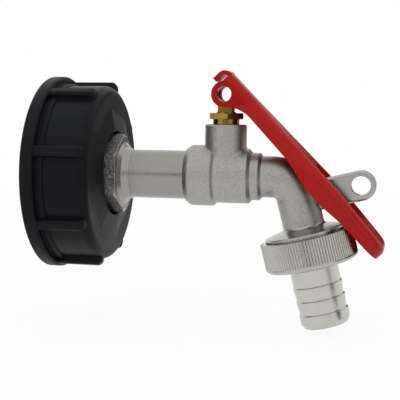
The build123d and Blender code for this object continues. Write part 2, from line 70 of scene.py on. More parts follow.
# The spout's start on the pipe's axis, its lean from upright, and its own directions
SPOUT_ORIGIN = Vector((101.2 * MM, 0.0, 0.0))
SPOUT_LEAN = radians(14.2)
SPOUT_DOWN = Vector((sin(SPOUT_LEAN), 0.0, -cos(SPOUT_LEAN)))
SPOUT_BACK = Vector((cos(SPOUT_LEAN), 0.0, sin(SPOUT_LEAN)))
SPOUT_PLACE = Matrix.Translation(SPOUT_ORIGIN) @ Matrix(
    (SPOUT_BACK, Vector((0, -1, 0)), SPOUT_DOWN)).transposed().to_4x4()

# Where the connector's hexagon lies along the pipe and how far out its flats begin
HEXAGON_START = 24.3 * MM
HEXAGON_END = 30.6 * MM
HEXAGON_FLAT = 13.8 * MM
CHAMFER_SLOPE = 0.577
CHAMFER_LINE = 39.5 * MM

# Where the finish of the tap body changes, along the spout and outwards from its axis
COLLAR_TOP = 19.0 * MM
LUG_ROOT = 10.5 * MM
THREAD_TOP = 25.1 * MM
THREAD_END = 30.0 * MM
THREAD_CREST = 16.3 * MM

# Union nut and hose tail, along the spout and outwards from its axis
NUT_START = 23.8 * MM
NUT_END = 36.2 * MM
NUT_FLOOR = 34.2 * MM
NUT_THREAD_RADIUS = 16.65 * MM
NUT_HOLE_RADIUS = 11.35 * MM
NUT_SEGMENTS = 160
RIDGE_SINK = 0.05 * MM
RIDGE_SHARE = 0.50
RIDGE_OVERRUN = 0.2 * MM
TAIL_START = 32.2 * MM
TAIL_FLANGE_END = 34.15 * MM
TAIL_NECK_END = 37.4 * MM
TAIL_FLANGE_RADIUS = 16.0 * MM
TAIL_NECK_RADIUS = 11.3 * MM
TAIL_LAND_RADIUS = 9.8 * MM
TAIL_BORE_RADIUS = 7.6 * MM
BARB_COUNT = 3
BARB_START = 43.9 * MM
BARB_PITCH = 5.65 * MM
BARB_FACE = 0.35 * MM
BARB_SLOPE_END = 5.30 * MM
TAIL_CHAMFER_START = 59.2 * MM
TAIL_END = 61.2 * MM
TAIL_END_RADIUS = 8.9 * MM
TAIL_SEGMENTS = 128

# Seals inside the tap, and their two colours
RUBBER_SEALS = ("cap_gasket", "collar_gasket", "union_washer", "stem_o_ring")
WHITE_SEALS = ("seat_ring_inlet", "seat_ring_outlet", "thrust_washer", "packing_ring_lower",
               "packing_ring_upper")
RUBBER_BLACK = (0.022, 0.022, 0.024)
SEAL_WHITE = (0.78, 0.78, 0.75)

# The photograph's view, in metres
CAMERA_PLACE = (0.138894, -0.362468, 0.027651)
CAMERA_RIGHT = Vector((0.97853, 0.20586, 0.01027))
CAMERA_UP = Vector((-0.03101, 0.09779, 0.99472))
CAMERA_FORWARD = Vector((-0.20377, 0.97368, -0.10207))

# The world's light on the pieces, and the floor under them
WORLD_STRENGTH = 0.55
FLOOR_SIZE = (6, 6)
FLOOR_GAP = 2 * MM
FLOOR_COLOUR = (0.86, 0.86, 0.86, 1)

# How white the floor shows itself near the pieces and far from them, and how far out each is reached
FLOOR_FADE = {"From Min": 0.10, "From Max": 0.60, "To Min": 0.93, "To Max": 1.0}

# Name, power in watts, and size, place and aim in metres of each lamp
LAMPS = (
    ("key", 1.3, (0.6, 0.6), (-0.20, -0.42, 0.42), (0.06, 0, 0)),
    ("fill", 0.3, (0.5, 0.4), (0.42, -0.40, 0.25), (0.08, 0, 0)),
    ("top", 0.8, (0.6, 0.45), (0.08, 0.10, 0.45), (0.08, 0, 0)),
)

# Name, size and place in metres, and turn of each dark card that only reflections see
CARDS = (
    ("card_behind_camera", (0.6, 0.07), (0.15, -0.50, 0.035), (radians(90), 0, radians(8))),
    ("card_right", (0.12, 0.40), (0.42, -0.10, 0.03), (radians(90), 0, radians(80))),
    ("card_behind", (0.26, 0.40), (0.25, 0.50, 0.02), (radians(90), 0, radians(-20))),
)


# Property groups: the sizes and colours that a user would change

class PlasticFinish(bpy.types.PropertyGroup):
    """Finish of the moulded screw cap."""
    colour: bpy.props.FloatVectorProperty(
        name="Plastic colour", description="Colour of the moulded cap", subtype="COLOR",
        size=3, min=0, max=1, default=(0.0045, 0.0050, 0.0066))
    roughness: bpy.props.FloatProperty(
        name="Plastic roughness", description="How dull the moulded cap is", subtype="FACTOR",
        min=0, max=1, default=0.42)
    grain_size: bpy.props.FloatProperty(
        name="Grain size", description="Width of the moulding's fine grain", subtype="DISTANCE",
        unit="LENGTH", default=0.6 * MM)


class MetalFinish(bpy.types.PropertyGroup):
    """Finish of the plated and the brass pieces."""
    nickel: bpy.props.FloatVectorProperty(
        name="Nickel colour", description="Colour of the nickel plating", subtype="COLOR",
        size=3, min=0, max=1, default=(0.39, 0.38, 0.355))
    brass: bpy.props.FloatVectorProperty(
        name="Brass colour", description="Colour of the bare brass", subtype="COLOR",
        size=3, min=0, max=1, default=(0.34, 0.235, 0.055))
    satin_roughness: bpy.props.FloatProperty(
        name="Satin roughness", description="How dull the turned plating is", subtype="FACTOR",
        min=0, max=1, default=0.24)
    blasted_roughness: bpy.props.FloatProperty(
        name="Blasted roughness", description="How dull the blasted tap body is", subtype="FACTOR",
        min=0, max=1, default=0.40)
    thread_pitch: bpy.props.FloatProperty(
        name="Thread pitch", description="Pitch of the outlet's pipe thread", subtype="DISTANCE",
        unit="LENGTH", default=2.309 * MM)


class LeverFinish(bpy.types.PropertyGroup):
    """Finish of the coated lever."""
    colour: bpy.props.FloatVectorProperty(
        name="Coating colour", description="Colour of the lever's coating", subtype="COLOR",
        size=3, min=0, max=1, default=(0.42, 0.008, 0.006))
    roughness: bpy.props.FloatProperty(
        name="Coating roughness", description="How dull the lever's coating is", subtype="FACTOR",
        min=0, max=1, default=0.30)


class KnurlSizes(bpy.types.PropertyGroup):
    """Sizes of the knurled union nut."""
    radius: bpy.props.FloatProperty(
        name="Nut radius", description="Radius over the knurl", subtype="DISTANCE",
        unit="LENGTH", default=18.95 * MM)
    ridge_height: bpy.props.FloatProperty(
        name="Ridge height", description="Height of the knurl's ridges", subtype="DISTANCE",
        unit="LENGTH", default=0.42 * MM)
    ridge_count: bpy.props.IntProperty(
        name="Ridges", description="How many ridges run round the nut", default=104)
    band_start: bpy.props.FloatProperty(
        name="Band start", description="Upper end of the knurl along the spout", subtype="DISTANCE",
        unit="LENGTH", default=23.95 * MM)
    band_end: bpy.props.FloatProperty(
        name="Band end", description="Lower end of the knurl along the spout", subtype="DISTANCE",
        unit="LENGTH", default=34.20 * MM)
    edge_round: bpy.props.FloatProperty(
        name="Edge round", description="Rounding of the nut's edges", subtype="DISTANCE",
        unit="LENGTH", default=0.35 * MM)


class TailSizes(bpy.types.PropertyGroup):
    """Sizes of the barbed hose tail."""
    barb_radius: bpy.props.FloatProperty(
        name="Barb radius", description="Radius over the barbs", subtype="DISTANCE",
        unit="LENGTH", default=10.1 * MM)
    root_radius: bpy.props.FloatProperty(
        name="Root radius", description="Radius between the barbs", subtype="DISTANCE",
        unit="LENGTH", default=9.6 * MM)
    edge_round: bpy.props.FloatProperty(
        name="Edge round", description="Rounding of the turned edges", subtype="DISTANCE",
        unit="LENGTH", default=0.18 * MM)


class StageSettings(bpy.types.PropertyGroup):
    """Camera, floor and lamps."""
    lens: bpy.props.FloatProperty(
        name="Lens", description="Focal length on a 36 mm sensor", subtype="DISTANCE_CAMERA",
        unit="CAMERA", default=81.0)
    lamp_level: bpy.props.FloatProperty(
        name="Lamp level", description="Share of the lamps' usual strength", subtype="FACTOR",
        min=0, max=2, default=1.0)


# Helpers for meshes

def rounded_profile(points, radius, steps=3):
    """Closed (distance, radius) outline with its corners rounded, each by no more than its runs allow."""
    result = []
    count = len(points)
    for index, corner in enumerate(points):
        here = Vector(corner)
        before = Vector(points[index - 1]) - here
        after = Vector(points[(index + 1) % count]) - here
        cut = min(radius, before.length * 0.4, after.length * 0.4)
        start = here + before.normalized() * cut
        end = here + after.normalized() * cut
        for step in range(steps + 1):
            t = step / steps
            result.append(start * (1 - t) ** 2 + here * 2 * t * (1 - t) + end * t ** 2)
    return result


def turned_mesh(name, profile, segments, place):
    """Closed solid of revolution about the place's Z axis, from a closed (distance, radius) outline."""
    shape = bmesh.new()
    rings = []
    for index in range(segments):
        angle = 2 * pi * index / segments
        ring = [shape.verts.new((p[1] * cos(angle), p[1] * sin(angle), p[0])) for p in profile]
        rings.append(ring)
    count = len(profile)
    for index in range(segments):
        here, there = rings[index], rings[(index + 1) % segments]
        for step in range(count):
            follow = (step + 1) % count
            shape.faces.new((here[step], here[follow], there[follow], there[step]))
    bmesh.ops.recalc_face_normals(shape, faces=shape.faces)
    mesh = bpy.data.meshes.new(name)
    shape.to_mesh(mesh)
    shape.free()
    mesh.transform(place)
    mesh.shade_smooth()
    mesh.set_sharp_from_angle(angle=radians(32))
    piece = bpy.data.objects.new(name, mesh)
    bpy.context.scene.collection.objects.link(piece)
    return piece


def bake_geometry(piece, tree, values):
    """Run a geometry tree on a piece with the named input values, and keep the result as its plain mesh."""
    modifier = piece.modifiers.new("shape", "NODES")
    modifier.node_group = tree
    for item in tree.interface.items_tree:
        if item.in_out == "INPUT" and item.name in values:
            modifier[item.identifier] = values[item.name]
    depsgraph = bpy.context.evaluated_depsgraph_get()
    mesh = bpy.data.meshes.new_from_object(piece.evaluated_get(depsgraph))
    mesh.name = piece.name
    piece.modifiers.remove(modifier)
    piece.data = mesh
    return piece


# Helpers for node trees

class Surface:
    """A material's node tree with short calls for the nodes that the finishes share."""

    def __init__(self, name, **values):
        self.material = bpy.data.materials.new(name)
        self.material.use_nodes = True
        self.tree = self.material.node_tree
        self.shader = self.tree.nodes["Principled BSDF"]
        for socket, value in values.items():
            self.set(socket.replace("_", " "), value)
        self.coordinates = self.tree.nodes.new("ShaderNodeTexCoord").outputs["Object"]

    def set(self, socket, value):
        """Write a constant value on the shader's own socket."""
        self.shader.inputs[socket].default_value = value

    def link(self, output, socket):
        """Join a value to one of the shader's sockets."""
        self.tree.links.new(output, self.shader.inputs[socket])

    def linked(self, socket):
        """The value that already runs into one of the shader's sockets."""
        return self.shader.inputs[socket].links[0].from_socket

    def node(self, kind, inputs=(), **settings):
        """Add a node, with its settings and the values or links of its inputs."""
        node = self.tree.nodes.new(kind)
        for key, value in settings.items():
            setattr(node, key, value)
        for key, value in dict(inputs).items():
            if isinstance(value, bpy.types.NodeSocket):
                self.tree.links.new(value, node.inputs[key])
            else:
                node.inputs[key].default_value = value
        return node

    def math(self, operation, first, second=0.0, clamp=False):
        """Result of a sum on values or links."""
        return self.node("ShaderNodeMath", {0: first, 1: second}, operation=operation,
                         use_clamp=clamp).outputs[0]

    def along(self, direction, origin=(0, 0, 0)):
        """Distance from an origin along a direction, in metres."""
        offset = self.node("ShaderNodeVectorMath", {0: self.coordinates, 1: origin}, operation="SUBTRACT")
        return self.node("ShaderNodeVectorMath", {0: offset.outputs[0], 1: direction},
                         operation="DOT_PRODUCT").outputs["Value"]

    def stretched(self, scale):
        """Object coordinates with one scale for each axis."""
        return self.node("ShaderNodeMapping", {"Vector": self.coordinates, "Scale": scale}).outputs[0]

    def distance(self, first, second):
        """Length of the vector that two distances make."""
        reach = self.node("ShaderNodeCombineXYZ", {0: first, 1: second})
        return self.node("ShaderNodeVectorMath", {0: reach.outputs[0]}, operation="LENGTH").outputs["Value"]

    def noise(self, scale, detail=2.0, roughness=0.5, vector=None):
        """Cloudy values between zero and one."""
        return self.node("ShaderNodeTexNoise", {"Vector": vector or self.coordinates, "Scale": scale,
                                                "Detail": detail, "Roughness": roughness}).outputs[0]

    def lines(self, value, scale, detail, roughness):
        """Noise that changes along one value only, as turning marks do."""
        return self.node("ShaderNodeTexNoise", {"W": value, "Scale": scale, "Detail": detail,
                                                "Roughness": roughness}, noise_dimensions="1D").outputs[0]

    def span(self, value, low, high, to_low=0.0, to_high=1.0):
        """Map one range to another, held at its ends."""
        return self.node("ShaderNodeMapRange", {"Value": value, "From Min": low, "From Max": high,
                                                "To Min": to_low, "To Max": to_high}).outputs[0]

    def band(self, value, low, high, edge):
        """One inside a band of values, zero outside, with soft edges."""
        rise = self.span(value, low - edge, low + edge)
        fall = self.span(value, high - edge, high + edge, 1.0, 0.0)
        return self.math("MULTIPLY", rise, fall)

    def blend(self, factor, first, second):
        """Mix of two colours; the node takes its factor at socket 0 and the colours at 6 and 7."""
        mix = self.tree.nodes.new("ShaderNodeMix")
        mix.data_type = "RGBA"
        for socket, value in ((mix.inputs[0], factor), (mix.inputs[6], first), (mix.inputs[7], second)):
            if isinstance(value, bpy.types.NodeSocket):
                self.tree.links.new(value, socket)
            elif isinstance(value, (int, float)):
                socket.default_value = value
            else:
                socket.default_value = tuple(value) + (1.0,)
        return mix.outputs[2]

    def edges(self, radius):
        """Normal of the surface with its edges rounded by a small radius."""
        return self.node("ShaderNodeBevel", {"Radius": radius}, samples=6).outputs[0]

    def bump(self, height, distance, strength=1.0, normal=None):
        """Normal of the surface with a fine relief."""
        inputs = {"Height": height, "Distance": distance, "Strength": strength}
        if normal:
            inputs["Normal"] = normal
        return self.node("ShaderNodeBump", inputs).outputs[0]


def dress(names, surface):
    """Give CAD nodes a finish."""
    for name in names:
        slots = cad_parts[name].data.materials
        slots.clear()
        slots.append(surface.material)


def shade(colour, share):
    """A colour made darker or lighter."""
    return tuple(min(1.0, channel * share) for channel in colour)


# Finishes

def moulded_plastic(finish):
    """Black satin plastic with a fine grain and scuffs."""
    surface = Surface("moulded_black_plastic", Specular_IOR_Level=0.12, IOR=1.49)
    grain = surface.noise(1 / finish.grain_size, detail=3.0, roughness=0.6)
    cloud = surface.noise(45.0, detail=4.0, roughness=0.6)
    scuff = surface.noise(90.0, detail=5.0, roughness=0.7, vector=surface.stretched((8.0, 1.0, 1.0)))
    pale = surface.span(scuff, 0.62, 0.78, 0.0, 0.35)
    base = surface.blend(surface.span(cloud, 0.3, 0.7), shade(finish.colour, 0.8),
                         shade(finish.colour, 1.5))
    surface.link(surface.blend(pale, base, shade(finish.colour, 3.2)), "Base Color")
    level = surface.span(cloud, 0.3, 0.7, finish.roughness - 0.05, finish.roughness + 0.09)
    surface.link(level, "Roughness")
    normal = surface.bump(grain, 0.05 * MM, 0.55, surface.edges(0.5 * MM))
    surface.link(surface.bump(cloud, 0.4 * MM, 0.10, normal), "Normal")
    return surface


def turned_nickel(name, finish, along, extra=0.0, share=1.0):
    """Satin nickel with fine turning marks along an axis and faint clouds in the plating; share scales the
    plating's colour per piece as painted light and shade.
    """
    surface = Surface(name, Metallic=1.0)
    cloud = surface.noise(140.0, detail=4.0, roughness=0.55)
    marks = surface.lines(along(surface), 5200.0, detail=3.0, roughness=0.7)
    pits = surface.noise(2600.0, detail=2.0)
    # Painted light and shade: share scales the plating's colour, lighter on some pieces and darker on
    # others.
    plating = shade(finish.nickel, share)
    base = surface.blend(surface.span(cloud, 0.25, 0.75), shade(plating, 0.95), shade(plating, 1.04))
    dulled = surface.span(marks, 0.3, 0.8, 0.0, 0.35)
    surface.link(surface.blend(dulled, base, shade(plating, 0.72)), "Base Color")
    low = finish.satin_roughness + extra
    wear = surface.math("ADD", cloud, marks)
    surface.link(surface.span(wear, 0.6, 1.4, low - 0.04, low + 0.10), "Roughness")
    normal = surface.bump(marks, 0.02 * MM, 0.35, surface.edges(0.22 * MM))
    surface.link(surface.bump(pits, 0.02 * MM, 0.25, normal), "Normal")
    return surface


def connector_finish(finish):
    """Turned nickel whose hexagon flats are left as cast."""
    # Painted shade: the connector and its pipe get a darker copy of the nickel, share 0.84.
    surface = turned_nickel("turned_nickel_connector_painted_shade", finish, lambda s: s.along(PIPE_AXIS), share=0.84)
    along = surface.along(PIPE_AXIS)
    collar = surface.band(along, HEXAGON_START, HEXAGON_END, 0.1 * MM)
    distance = surface.distance(surface.along((0, 1, 0)), surface.along((0, 0, 1)))
    chamfer = surface.math("ADD", along, surface.math("MULTIPLY", distance, CHAMFER_SLOPE))
    flats = surface.math("MULTIPLY", surface.span(distance, HEXAGON_FLAT, HEXAGON_FLAT + 0.3 * MM),
                         surface.span(chamfer, CHAMFER_LINE - 0.15 * MM, CHAMFER_LINE, 1.0, 0.0))
    cast = surface.math("MULTIPLY", collar, flats)
    lumps = surface.noise(900.0, detail=4.0, roughness=0.65)
    plated = surface.linked("Base Color")
    skin = surface.blend(surface.span(lumps, 0.38, 0.62), shade(finish.nickel, 0.28),
                         shade(finish.nickel, 0.86))
    surface.link(surface.blend(cast, plated, skin), "Base Color")
    height = surface.math("MULTIPLY", cast, lumps)
    surface.link(surface.bump(height, 0.4 * MM, 0.9, surface.linked("Normal")), "Normal")
    added = surface.math("MULTIPLY", cast, 0.22)
    rough = surface.math("ADD", surface.linked("Roughness"), added, clamp=True)
    surface.link(rough, "Roughness")
    return surface


def body_finish(finish):
    """Blasted nickel, smooth on the collar and the lug, with a pipe thread round the outlet."""
    surface = Surface("blasted_nickel_body", Metallic=1.0)
    down = surface.along(SPOUT_DOWN, SPOUT_ORIGIN)
    back = surface.along(SPOUT_BACK, SPOUT_ORIGIN)
    side = surface.along((0, 1, 0))
    smooth = surface.math("MAXIMUM", surface.span(down, COLLAR_TOP, COLLAR_TOP + 1.5 * MM),
                          surface.span(back, LUG_ROOT, LUG_ROOT + 2.0 * MM))
    blasted = surface.math("SUBTRACT", 1.0, smooth)
    grain = surface.noise(1900.0, detail=3.0, roughness=0.65)
    coarse = surface.noise(700.0, detail=3.0, roughness=0.6)
    cloud = surface.noise(120.0, detail=4.0, roughness=0.6)
    base = surface.blend(surface.span(cloud, 0.25, 0.75), finish.nickel, shade(finish.nickel, 1.12))
    speck = surface.math("MULTIPLY", surface.span(grain, 0.50, 0.66, 0.0, 0.7), blasted)
    surface.link(surface.blend(speck, base, shade(finish.nickel, 0.60)), "Base Color")
    low = surface.span(blasted, 0.0, 1.0, finish.satin_roughness, finish.blasted_roughness)
    surface.link(surface.math("ADD", low, surface.span(cloud, 0.3, 0.7, -0.03, 0.06)), "Roughness")
    turn = surface.math("ARCTAN2", surface.math("MULTIPLY", side, -1.0), back)
    phase = surface.math("SUBTRACT", surface.math("DIVIDE", down, finish.thread_pitch),
                         surface.math("DIVIDE", turn, 2 * pi))
    wave = surface.math("PINGPONG", phase, 0.5)
    outside = surface.span(surface.distance(back, side), THREAD_CREST, THREAD_CREST + 0.2 * MM)
    threaded = surface.math("MULTIPLY", surface.band(down, THREAD_TOP, THREAD_END, 0.3 * MM), outside)
    normal = surface.bump(surface.math("MULTIPLY", wave, threaded), 2.2 * MM, 1.0, surface.edges(0.3 * MM))
    normal = surface.bump(surface.math("MULTIPLY", coarse, blasted), 0.18 * MM, 0.35, normal)
    surface.link(surface.bump(surface.math("MULTIPLY", grain, blasted), 0.14 * MM, 0.9, normal), "Normal")
    return surface


def turned_brass(finish):
    """Machined brass with fine rings and slight tarnish."""
    surface = Surface("machined_brass", Metallic=1.0)
    rings = surface.lines(surface.along(STEM_AXIS), 4200.0, detail=2.0, roughness=0.6)
    cloud = surface.noise(260.0, detail=4.0, roughness=0.6)
    base = surface.blend(surface.span(cloud, 0.3, 0.75), finish.brass, shade(finish.brass, 0.62))
    dulled = surface.span(rings, 0.35, 0.8, 0.0, 0.3)
    surface.link(surface.blend(dulled, base, shade(finish.brass, 0.7)), "Base Color")
    surface.link(surface.span(cloud, 0.3, 0.7, 0.16, 0.30), "Roughness")
    surface.link(surface.bump(rings, 0.03 * MM, 0.4, surface.edges(0.2 * MM)), "Normal")
    return surface


def coated_red(finish):
    """Glossy red coating with slight orange peel, over rounded sheet edges."""
    surface = Surface("glossy_red_coating", Coat_Weight=0.10, Coat_Roughness=0.12, Coat_IOR=1.5,
                      Specular_IOR_Level=0.14)
    cloud = surface.noise(160.0, detail=4.0, roughness=0.6)
    peel = surface.noise(1100.0, detail=2.0)
    surface.link(surface.blend(surface.span(cloud, 0.3, 0.7), shade(finish.colour, 0.88),
                               shade(finish.colour, 1.08)), "Base Color")
    level = surface.span(cloud, 0.3, 0.7, finish.roughness - 0.05, finish.roughness + 0.08)
    surface.link(level, "Roughness")
    normal = surface.bump(peel, 0.06 * MM, 0.35, surface.edges(0.4 * MM))
    surface.link(surface.bump(cloud, 0.6 * MM, 0.18, normal), "Normal")
    return surface


def plain_seal(name, colour, roughness, scale):
    """Soft seal with a slight mottle."""
    surface = Surface(name, Specular_IOR_Level=0.3)
    mottle = surface.noise(scale, detail=3.0, roughness=0.6)
    surface.link(surface.blend(surface.span(mottle, 0.3, 0.7), shade(colour, 0.85), shade(colour, 1.05)),
                 "Base Color")
    surface.link(surface.span(mottle, 0.3, 0.7, roughness - 0.06, roughness + 0.06), "Roughness")
    surface.link(surface.bump(mottle, 0.08 * MM, 0.3), "Normal")
    return surface


# Geometry tree of the knurl

def knurl_tree(material):
    """Ridges in a ring about Z, joined to the nut that they stand on and put in place."""
    tree = bpy.data.node_groups.new("knurl", "GeometryNodeTree")
    tree.interface.new_socket("Geometry", in_out="INPUT", socket_type="NodeSocketGeometry")
    tree.interface.new_socket("Ridges", in_out="INPUT", socket_type="NodeSocketInt")
    for name in ("Radius", "Height", "Width", "Start", "Length"):
        tree.interface.new_socket(name, in_out="INPUT", socket_type="NodeSocketFloat")
    for name in ("Place", "Turn"):
        tree.interface.new_socket(name, in_out="INPUT", socket_type="NodeSocketVector")
    tree.interface.new_socket("Geometry", in_out="OUTPUT", socket_type="NodeSocketGeometry")
    nodes, links = tree.nodes, tree.links
    given = nodes.new("NodeGroupInput").outputs
    ring = nodes.new("GeometryNodeMeshCircle")
    links.new(given["Ridges"], ring.inputs["Vertices"])
    links.new(given["Radius"], ring.inputs["Radius"])
    ridge = nodes.new("GeometryNodeMeshCylinder")
    ridge.inputs["Vertices"].default_value = 4
    ridge.inputs["Side Segments"].default_value = 3
    ridge.inputs["Radius"].default_value = 1.0
    ridge.inputs["Depth"].default_value = 1.0
    size = nodes.new("ShaderNodeCombineXYZ")
    for key, axis in (("Height", "X"), ("Width", "Y"), ("Length", "Z")):
        links.new(given[key], size.inputs[axis])
    shaped = nodes.new("GeometryNodeTransform")
    links.new(ridge.outputs["Mesh"], shaped.inputs["Geometry"])
    links.new(size.outputs[0], shaped.inputs["Scale"])
    outwards = nodes.new("FunctionNodeAlignRotationToVector")
    outwards.axis = "X"
    outwards.pivot_axis = "Z"
    links.new(nodes.new("GeometryNodeInputPosition").outputs[0], outwards.inputs["Vector"])
    copies = nodes.new("GeometryNodeInstanceOnPoints")
    links.new(ring.outputs["Mesh"], copies.inputs["Points"])
    links.new(shaped.outputs["Geometry"], copies.inputs["Instance"])
    links.new(outwards.outputs["Rotation"], copies.inputs["Rotation"])
    middle = nodes.new("ShaderNodeMath")
    middle.operation = "MULTIPLY_ADD"
    links.new(given["Length"], middle.inputs[0])
    middle.inputs[1].default_value = 0.5
    links.new(given["Start"], middle.inputs[2])
    lift = nodes.new("ShaderNodeCombineXYZ")
    links.new(middle.outputs[0], lift.inputs["Z"])
    raised = nodes.new("GeometryNodeTransform")
    links.new(copies.outputs["Instances"], raised.inputs["Geometry"])
    links.new(lift.outputs[0], raised.inputs["Translation"])
    flat = nodes.new("GeometryNodeSetShadeSmooth")
    flat.inputs["Shade Smooth"].default_value = False
    links.new(raised.outputs["Geometry"], flat.inputs["Geometry"])
    joined = nodes.new("GeometryNodeJoinGeometry")
    links.new(flat.outputs["Geometry"], joined.inputs["Geometry"])
    links.new(given["Geometry"], joined.inputs["Geometry"])
    placed = nodes.new("GeometryNodeTransform")
    links.new(joined.outputs["Geometry"], placed.inputs["Geometry"])
    links.new(given["Place"], placed.inputs["Translation"])
    links.new(given["Turn"], placed.inputs["Rotation"])
    real = nodes.new("GeometryNodeRealizeInstances")
    links.new(placed.outputs["Geometry"], real.inputs["Geometry"])
    finish = nodes.new("GeometryNodeSetMaterial")
    finish.inputs["Material"].default_value = material
    links.new(real.outputs["Geometry"], finish.inputs["Geometry"])
    links.new(finish.outputs["Geometry"], nodes.new("NodeGroupOutput").inputs["Geometry"])
    return tree


# Operators

class TAP_OT_cap(bpy.types.Operator):
    """Finish the moulded screw cap"""
    bl_idname = "tap.finish_cap"
    bl_label = "Screw cap"

    def execute(self, context):
        dress(["threaded_cap"], moulded_plastic(context.scene.tap_plastic))
        return {"FINISHED"}


class TAP_OT_metal(bpy.types.Operator):
    """Finish the connector, the tap body, the ball and the spring clip"""
    bl_idname = "tap.finish_metal"
    bl_label = "Plated metal"

    def execute(self, context):
        finish = context.scene.tap_metal
        dress(["inlet_connector"], connector_finish(finish))
        dress(["valve_body"], body_finish(finish))
        dress(["ball"], turned_nickel("polished_ball", finish, lambda s: s.along(STEM_AXIS), extra=-0.14))
        dress(["stem_clip"], turned_nickel("spring_clip", finish, lambda s: s.along(STEM_AXIS), extra=0.08))
        return {"FINISHED"}


class TAP_OT_brass(bpy.types.Operator):
    """Finish the gland nut and the stem"""
    bl_idname = "tap.finish_brass"
    bl_label = "Brass"

    def execute(self, context):
        dress(["gland_nut", "stem"], turned_brass(context.scene.tap_metal))
        return {"FINISHED"}


class TAP_OT_lever(bpy.types.Operator):
    """Finish the coated lever"""
    bl_idname = "tap.finish_lever"
    bl_label = "Lever"

    def execute(self, context):
        dress(["lever"], coated_red(context.scene.tap_lever))
        return {"FINISHED"}


class TAP_OT_seals(bpy.types.Operator):
    """Finish the gaskets, seats, washers and packing"""
    bl_idname = "tap.finish_seals"
    bl_label = "Seals"

    def execute(self, context):
        dress(RUBBER_SEALS, plain_seal("black_rubber", RUBBER_BLACK, 0.62, 900.0))
        dress(WHITE_SEALS, plain_seal("white_seal", SEAL_WHITE, 0.38, 700.0))
        return {"FINISHED"}


class TAP_OT_union_nut(bpy.types.Operator):
    """Make the knurled union nut"""
    bl_idname = "tap.make_union_nut"
    bl_label = "Union nut"

    def execute(self, context):
        sizes = context.scene.tap_knurl
        body = sizes.radius - sizes.ridge_height
        outline = [
            (NUT_START, NUT_THREAD_RADIUS),
            (NUT_START, body - 0.55 * MM),
            (NUT_START + 0.6 * MM, body),
            (sizes.band_end, body),
            (sizes.band_end + 0.25 * MM, body + 0.30 * MM),
            (NUT_END - 1.2 * MM, body + 0.28 * MM),
            (NUT_END - 0.45 * MM, body - 0.3 * MM),
            (NUT_END, body - 1.3 * MM),
            (NUT_END, NUT_HOLE_RADIUS),
            (NUT_FLOOR, NUT_HOLE_RADIUS),
            (NUT_FLOOR, NUT_THREAD_RADIUS),
        ]
        profile = rounded_profile(outline, sizes.edge_round)
        nut = turned_mesh("knurled_union_nut", profile, NUT_SEGMENTS, Matrix.Identity(4))
        # Painted light: the knurled nut gets a lighter copy of the nickel, share 1.25.
        finish = turned_nickel("knurled_nickel_painted_light", context.scene.tap_metal,
                               lambda s: s.along(SPOUT_DOWN, SPOUT_ORIGIN), extra=-0.02, share=1.25)
        pitch = 2 * pi * body / sizes.ridge_count
        bake_geometry(nut, knurl_tree(finish.material), {
            "Ridges": sizes.ridge_count,
            "Radius": body - RIDGE_SINK,
            "Height": sizes.ridge_height + RIDGE_SINK,
            "Width": pitch * RIDGE_SHARE,
            "Start": sizes.band_start,
            "Length": sizes.band_end - sizes.band_start + RIDGE_OVERRUN,
            "Place": SPOUT_PLACE.to_translation(),
            "Turn": SPOUT_PLACE.to_euler(),
        })
        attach(nut, "nut")
        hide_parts("union_nut")
        return {"FINISHED"}


class TAP_OT_hose_tail(bpy.types.Operator):
    """Make the barbed hose tail"""
    bl_idname = "tap.make_hose_tail"
    bl_label = "Hose tail"

    def execute(self, context):
        sizes = context.scene.tap_tail
        outline = [(TAIL_START, TAIL_BORE_RADIUS), (TAIL_START, TAIL_FLANGE_RADIUS),
                   (TAIL_FLANGE_END, TAIL_FLANGE_RADIUS), (TAIL_FLANGE_END, TAIL_NECK_RADIUS),
                   (TAIL_NECK_END, TAIL_NECK_RADIUS), (TAIL_NECK_END, TAIL_LAND_RADIUS),
                   (BARB_START, TAIL_LAND_RADIUS)]
        for index in range(BARB_COUNT):
            groove = BARB_START + BARB_PITCH * index
            outline += [(groove, sizes.root_radius), (groove + BARB_FACE, sizes.barb_radius)]
            if index < BARB_COUNT - 1:
                outline.append((groove + BARB_SLOPE_END, sizes.root_radius))
        outline += [(TAIL_CHAMFER_START, sizes.barb_radius), (TAIL_END, TAIL_END_RADIUS),
                    (TAIL_END, TAIL_BORE_RADIUS)]
        profile = rounded_profile(outline, sizes.edge_round)
        tail = turned_mesh("barbed_hose_tail", profile, TAIL_SEGMENTS, SPOUT_PLACE)
        # Painted light: the hose tail gets a lighter copy of the nickel, share 1.45.
        finish = turned_nickel("turned_nickel_tail_painted_light", context.scene.tap_metal,
                               lambda s: s.along(SPOUT_DOWN, SPOUT_ORIGIN), share=1.45)
        tail.data.materials.append(finish.material)
        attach(tail, "tail")
        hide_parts("hose_tail")
        return {"FINISHED"}


